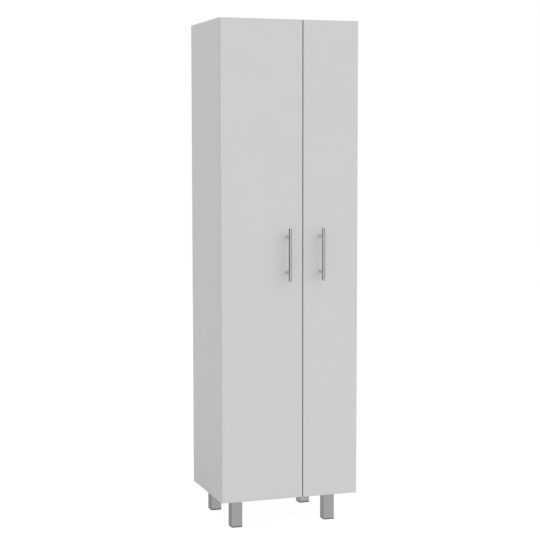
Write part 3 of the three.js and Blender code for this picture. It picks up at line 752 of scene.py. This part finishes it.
def dress_shelf_pins(zinc):
    radius, flange = SHELF_PIN_RADIUS, SHELF_PIN_FLANGE_RADIUS
    mesh = turned("shelf_pin", [
        (0, -SHELF_PIN_DEPTH), (radius, -SHELF_PIN_DEPTH), (radius, 0), (flange, 0),
        (flange, SHELF_PIN_FLANGE), (radius, SHELF_PIN_FLANGE),
        (radius, SHELF_PIN_REACH - radius / 2), (radius / 2, SHELF_PIN_REACH), (0, SHELF_PIN_REACH),
    ], SHELF_PIN_STEPS)
    left_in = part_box("left_side_panel")[1].x
    right_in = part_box("right_side_panel")[0].x
    divider_low, divider_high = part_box("centre_divider")
    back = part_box("back_panel_lower")[0].y
    walls = {shelf: (left_in, divider_low.x) for shelf in LEFT_SHELVES}
    walls["hat_shelf"] = (divider_high.x, right_in)
    for shelf, (left, right) in walls.items():
        low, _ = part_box(shelf)
        height = low.z - SHELF_PIN_CENTRE_DROP
        for row, y in (("front", low.y + PIN_ROW_FROM_SHELF_FRONT), ("rear", back - PIN_ROW_FROM_BACK)):
            for side, x, inwards in (("left", left, (1, 0, 0)), ("right", right, (-1, 0, 0))):
                name = f"{shelf}_{row}_pin_{side}"
                put(mesh, name, (x, y, height), inwards, "carcass", zinc)


def dress_cam_locks(zinc):
    """The cam housings that draw the fixed boards together, in the boards' less seen faces."""
    mesh = cam_lock_mesh("cam_lock")
    low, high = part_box("centre_divider")
    for row, y in (("front", low.y + CAM_FROM_EDGE), ("rear", high.y - CAM_FROM_EDGE)):
        for end, z in (("lower", low.z + CAM_FROM_END), ("upper", high.z - CAM_FROM_END)):
            name = f"divider_{row}_{end}_cam"
            put(mesh, name, (high.x, y, z), (1, 0, 0), "carcass", zinc)
    for node, from_edge in (("top_panel", CAM_FROM_EDGE), ("bottom_panel", CAM_BETWEEN_LEGS)):
        low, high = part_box(node)
        for row, y in (("front", low.y + from_edge), ("rear", high.y - from_edge)):
            for side, x in (("left", low.x + CAM_FROM_END), ("right", high.x - CAM_FROM_END)):
                name = f"{node}_{row}_{side}_cam"
                put(mesh, name, (x, y, low.z), (0, 0, -1), "carcass", zinc)


def dress_lips(material):
    """Soft white lips along the side panels' front edges.

    They close the view into the gap behind the doors.
    """
    for side, sign in (("left", 1), ("right", -1)):
        low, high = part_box(f"{side}_side_panel")
        face = low.x if side == "left" else high.x
        shape = bmesh.new()
        bottom, top = (
            [shape.verts.new((face + sign * x * MM, low.y - y * MM, z)) for x, y in LIP_PROFILE_MM]
            for z in (low.z, high.z)
        )
        for i in range(len(bottom)):
            j = (i + 1) % len(bottom)
            shape.faces.new((bottom[i], bottom[j], top[j], top[i]))
        shape.faces.new(bottom)
        shape.faces.new(top)
        name = f"{side}_dust_lip"
        finished(name, mesh_from(name, shape), material, "carcass")


def dress_bumpers(clear):
    profile = [(BUMPER_RADIUS * out, BUMPER_HEIGHT * up) for out, up in BUMPER_PROFILE]
    mesh = turned("door_bumper", profile, BUMPER_STEPS)
    for side, sign in (("left", -1), ("right", 1)):
        low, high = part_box(f"{side}_door_board")
        edge = high.x if side == "left" else low.x
        x = edge + sign * BUMPER_FROM_MEETING_EDGE
        inset = BUMPER_FROM_DOOR_END
        for end, z in (("lower", low.z + inset), ("upper", high.z - inset)):
            name = f"{side}_door_{end}_bumper"
            put(mesh, name, (x, high.y, z), (0, 1, 0), f"{side}_door", clear)


# Studio

def direction(azimuth, elevation):
    """A unit vector away from the object; azimuth runs from the front towards the right."""
    level = math.cos(elevation)
    return Vector((math.sin(azimuth) * level, -math.cos(azimuth) * level, math.sin(elevation)))


def make_camera():
    corner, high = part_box("left_door_board")
    height = high.z - corner.z
    forward = -direction(-CAMERA_YAW, CAMERA_PITCH)
    level = Vector((math.cos(CAMERA_YAW), -math.sin(CAMERA_YAW), 0))
    upright = level.cross(forward)
    right = math.cos(CAMERA_ROLL) * level + math.sin(CAMERA_ROLL) * upright
    up = -math.sin(CAMERA_ROLL) * level + math.cos(CAMERA_ROLL) * upright
    data = bpy.data.cameras.new("camera")
    data.sensor_width = SENSOR_WIDTH_MM
    data.lens = FOCAL_PIXELS / PHOTO_PIXELS * SENSOR_WIDTH_MM
    camera = bpy.data.objects.new("camera", data)
    bpy.context.scene.collection.objects.link(camera)
    turn = Matrix((right, up, -forward)).transposed().to_4x4()
    camera.matrix_world = Matrix.Translation(corner + height * Vector(CAMERA_SHARES)) @ turn
    bpy.context.scene.camera = camera


def make_key():
    data = bpy.data.lights.new("key", "SUN")
    data.energy = KEY_STRENGTH
    data.angle = KEY_SOFTNESS
    lamp = bpy.data.objects.new("key", data)
    bpy.context.scene.collection.objects.link(lamp)
    towards = direction(KEY_AZIMUTH, KEY_ELEVATION)
    lamp.rotation_euler = towards.to_track_quat("Z", "Y").to_euler()


def shader(tree, kind, **inputs):
    """A new shader node's output, with some of its inputs set."""
    node = tree.nodes.new(kind)
    for key, value in inputs.items():
        node.inputs[key].default_value = value
    return node.outputs[0]


def matt_grey(tree, level):
    return shader(tree, "ShaderNodeBsdfDiffuse", Color=(level, level, level, 1))


def mixed(tree, factor, first, second):
    """The first shader where the factor is 0, and the second where it is 1 or more."""
    mix = tree.nodes.new("ShaderNodeMixShader")
    for source, socket in zip((factor, first, second), mix.inputs):
        tree.links.new(source, socket)
    return mix.outputs[0]


def seen_directly(tree):
    """1 for camera, mirror and see-through rays."""
    path = tree.nodes.new("ShaderNodeLightPath")
    total = path.outputs["Is Camera Ray"]
    for name in ("Is Glossy Ray", "Is Transmission Ray"):
        add = tree.nodes.new("ShaderNodeMath")
        add.operation = "MAXIMUM"
        tree.links.new(total, add.inputs[0])
        tree.links.new(path.outputs[name], add.inputs[1])
        total = add.outputs["Value"]
    return total


def make_world():
    """Even light from all round, and a background that is white to the eye."""
    world = bpy.data.worlds.new("studio")
    world.use_nodes = True
    bpy.context.scene.world = world
    tree = world.node_tree
    tree.nodes.clear()
    lighting = shader(tree, "ShaderNodeBackground", Color=WHITE, Strength=WORLD_LEVEL)
    white = shader(tree, "ShaderNodeBackground", Color=WHITE)
    output = tree.nodes.new("ShaderNodeOutputWorld")
    tree.links.new(mixed(tree, seen_directly(tree), lighting, white), output.inputs["Surface"])


def stage_sheet(name, corners, surface):
    """A flat stage object between four corners; surface makes its shader in a node tree."""
    material = bpy.data.materials.new(name)
    material.use_nodes = True
    tree = material.node_tree
    tree.nodes.clear()
    output = tree.nodes.new("ShaderNodeOutputMaterial")
    tree.links.new(surface(tree), output.inputs["Surface"])
    mesh = bpy.data.meshes.new(name)
    mesh.from_pydata(corners, [], [(0, 1, 2, 3)])
    mesh.materials.append(material)
    sheet = bpy.data.objects.new(name, mesh)
    bpy.context.scene.collection.objects.link(sheet)
    return sheet


def make_floor():
    """A pale floor that is white to the eye and keeps a light shadow of the object."""
    def surface(tree):
        plain = matt_grey(tree, FLOOR_LEVEL)
        shade = matt_grey(tree, FLOOR_SHADOW)
        glow = shader(tree, "ShaderNodeEmission", Strength=FLOOR_GLOW)
        both = tree.nodes.new("ShaderNodeAddShader")
        tree.links.new(shade, both.inputs[0])
        tree.links.new(glow, both.inputs[1])
        return mixed(tree, seen_directly(tree), plain, both.outputs[0])
    half = FLOOR_SIZE / 2
    corners = [(-half, -half, 0), (half, -half, 0), (half, half, 0), (-half, half, 0)]
    stage_sheet("floor", corners, surface)


def make_flag(name, low, high, level):
    """A card between two corners that only polished metal shows, for the tone bands on it.

    It is clear to light that the metal passes on to the boards, so it darkens nothing there.
    """
    def surface(tree):
        glow = shader(tree, "ShaderNodeEmission", Strength=level)
        clear = shader(tree, "ShaderNodeBsdfTransparent")
        path = tree.nodes.new("ShaderNodeLightPath")
        return mixed(tree, path.outputs["Diffuse Depth"], glow, clear)
    if low[2] == high[2]:
        corners = [low, (high[0], low[1], low[2]), high, (low[0], high[1], low[2])]
    else:
        corners = [low, (*high[:2], low[2]), high, (*low[:2], high[2])]
    flag = stage_sheet(name + "_flag", corners, surface)
    flag.visible_camera = False
    flag.visible_diffuse = False
    flag.visible_transmission = False
    flag.visible_shadow = False


def make_studio():
    make_world()
    make_floor()
    make_key()
    for name, (low, high, level) in FLAGS.items():
        make_flag(name, low, high, level)
    bpy.context.scene.view_settings.view_transform = "Standard"


def dress():
    steel = brushed("handle_steel", HANDLE_STEEL, roughness=0.16, stretch=(1, 1, 0.012))
    nickel = plated("hinge_nickel", NICKEL, roughness=0.24)
    zinc = plated("zinc_steel", ZINC, roughness=0.32)
    screw = screw_head_mesh("screw_head")
    dress_boards()
    dress_handles(steel, zinc)
    leg_material = satin_grey("leg_grey")
    foot_material = moulded("foot_plastic", FOOT_GREY, roughness=0.5)
    for corner in CORNERS:
        dress_leg(corner, leg_material, foot_material, zinc)
    for side in SIDES:
        for level in HINGES:
            dress_hinge(side, level, nickel, zinc, screw)
    dress_shelf_pins(zinc)
    dress_cam_locks(zinc)
    dress_leg_screws(screw, zinc)
    dress_lips(moulded("lip_plastic", BOARD_WHITE, roughness=0.5))
    dress_bumpers(moulded("bumper", BUMPER_CLEAR, roughness=0.25))


dress()
make_camera()
make_studio()
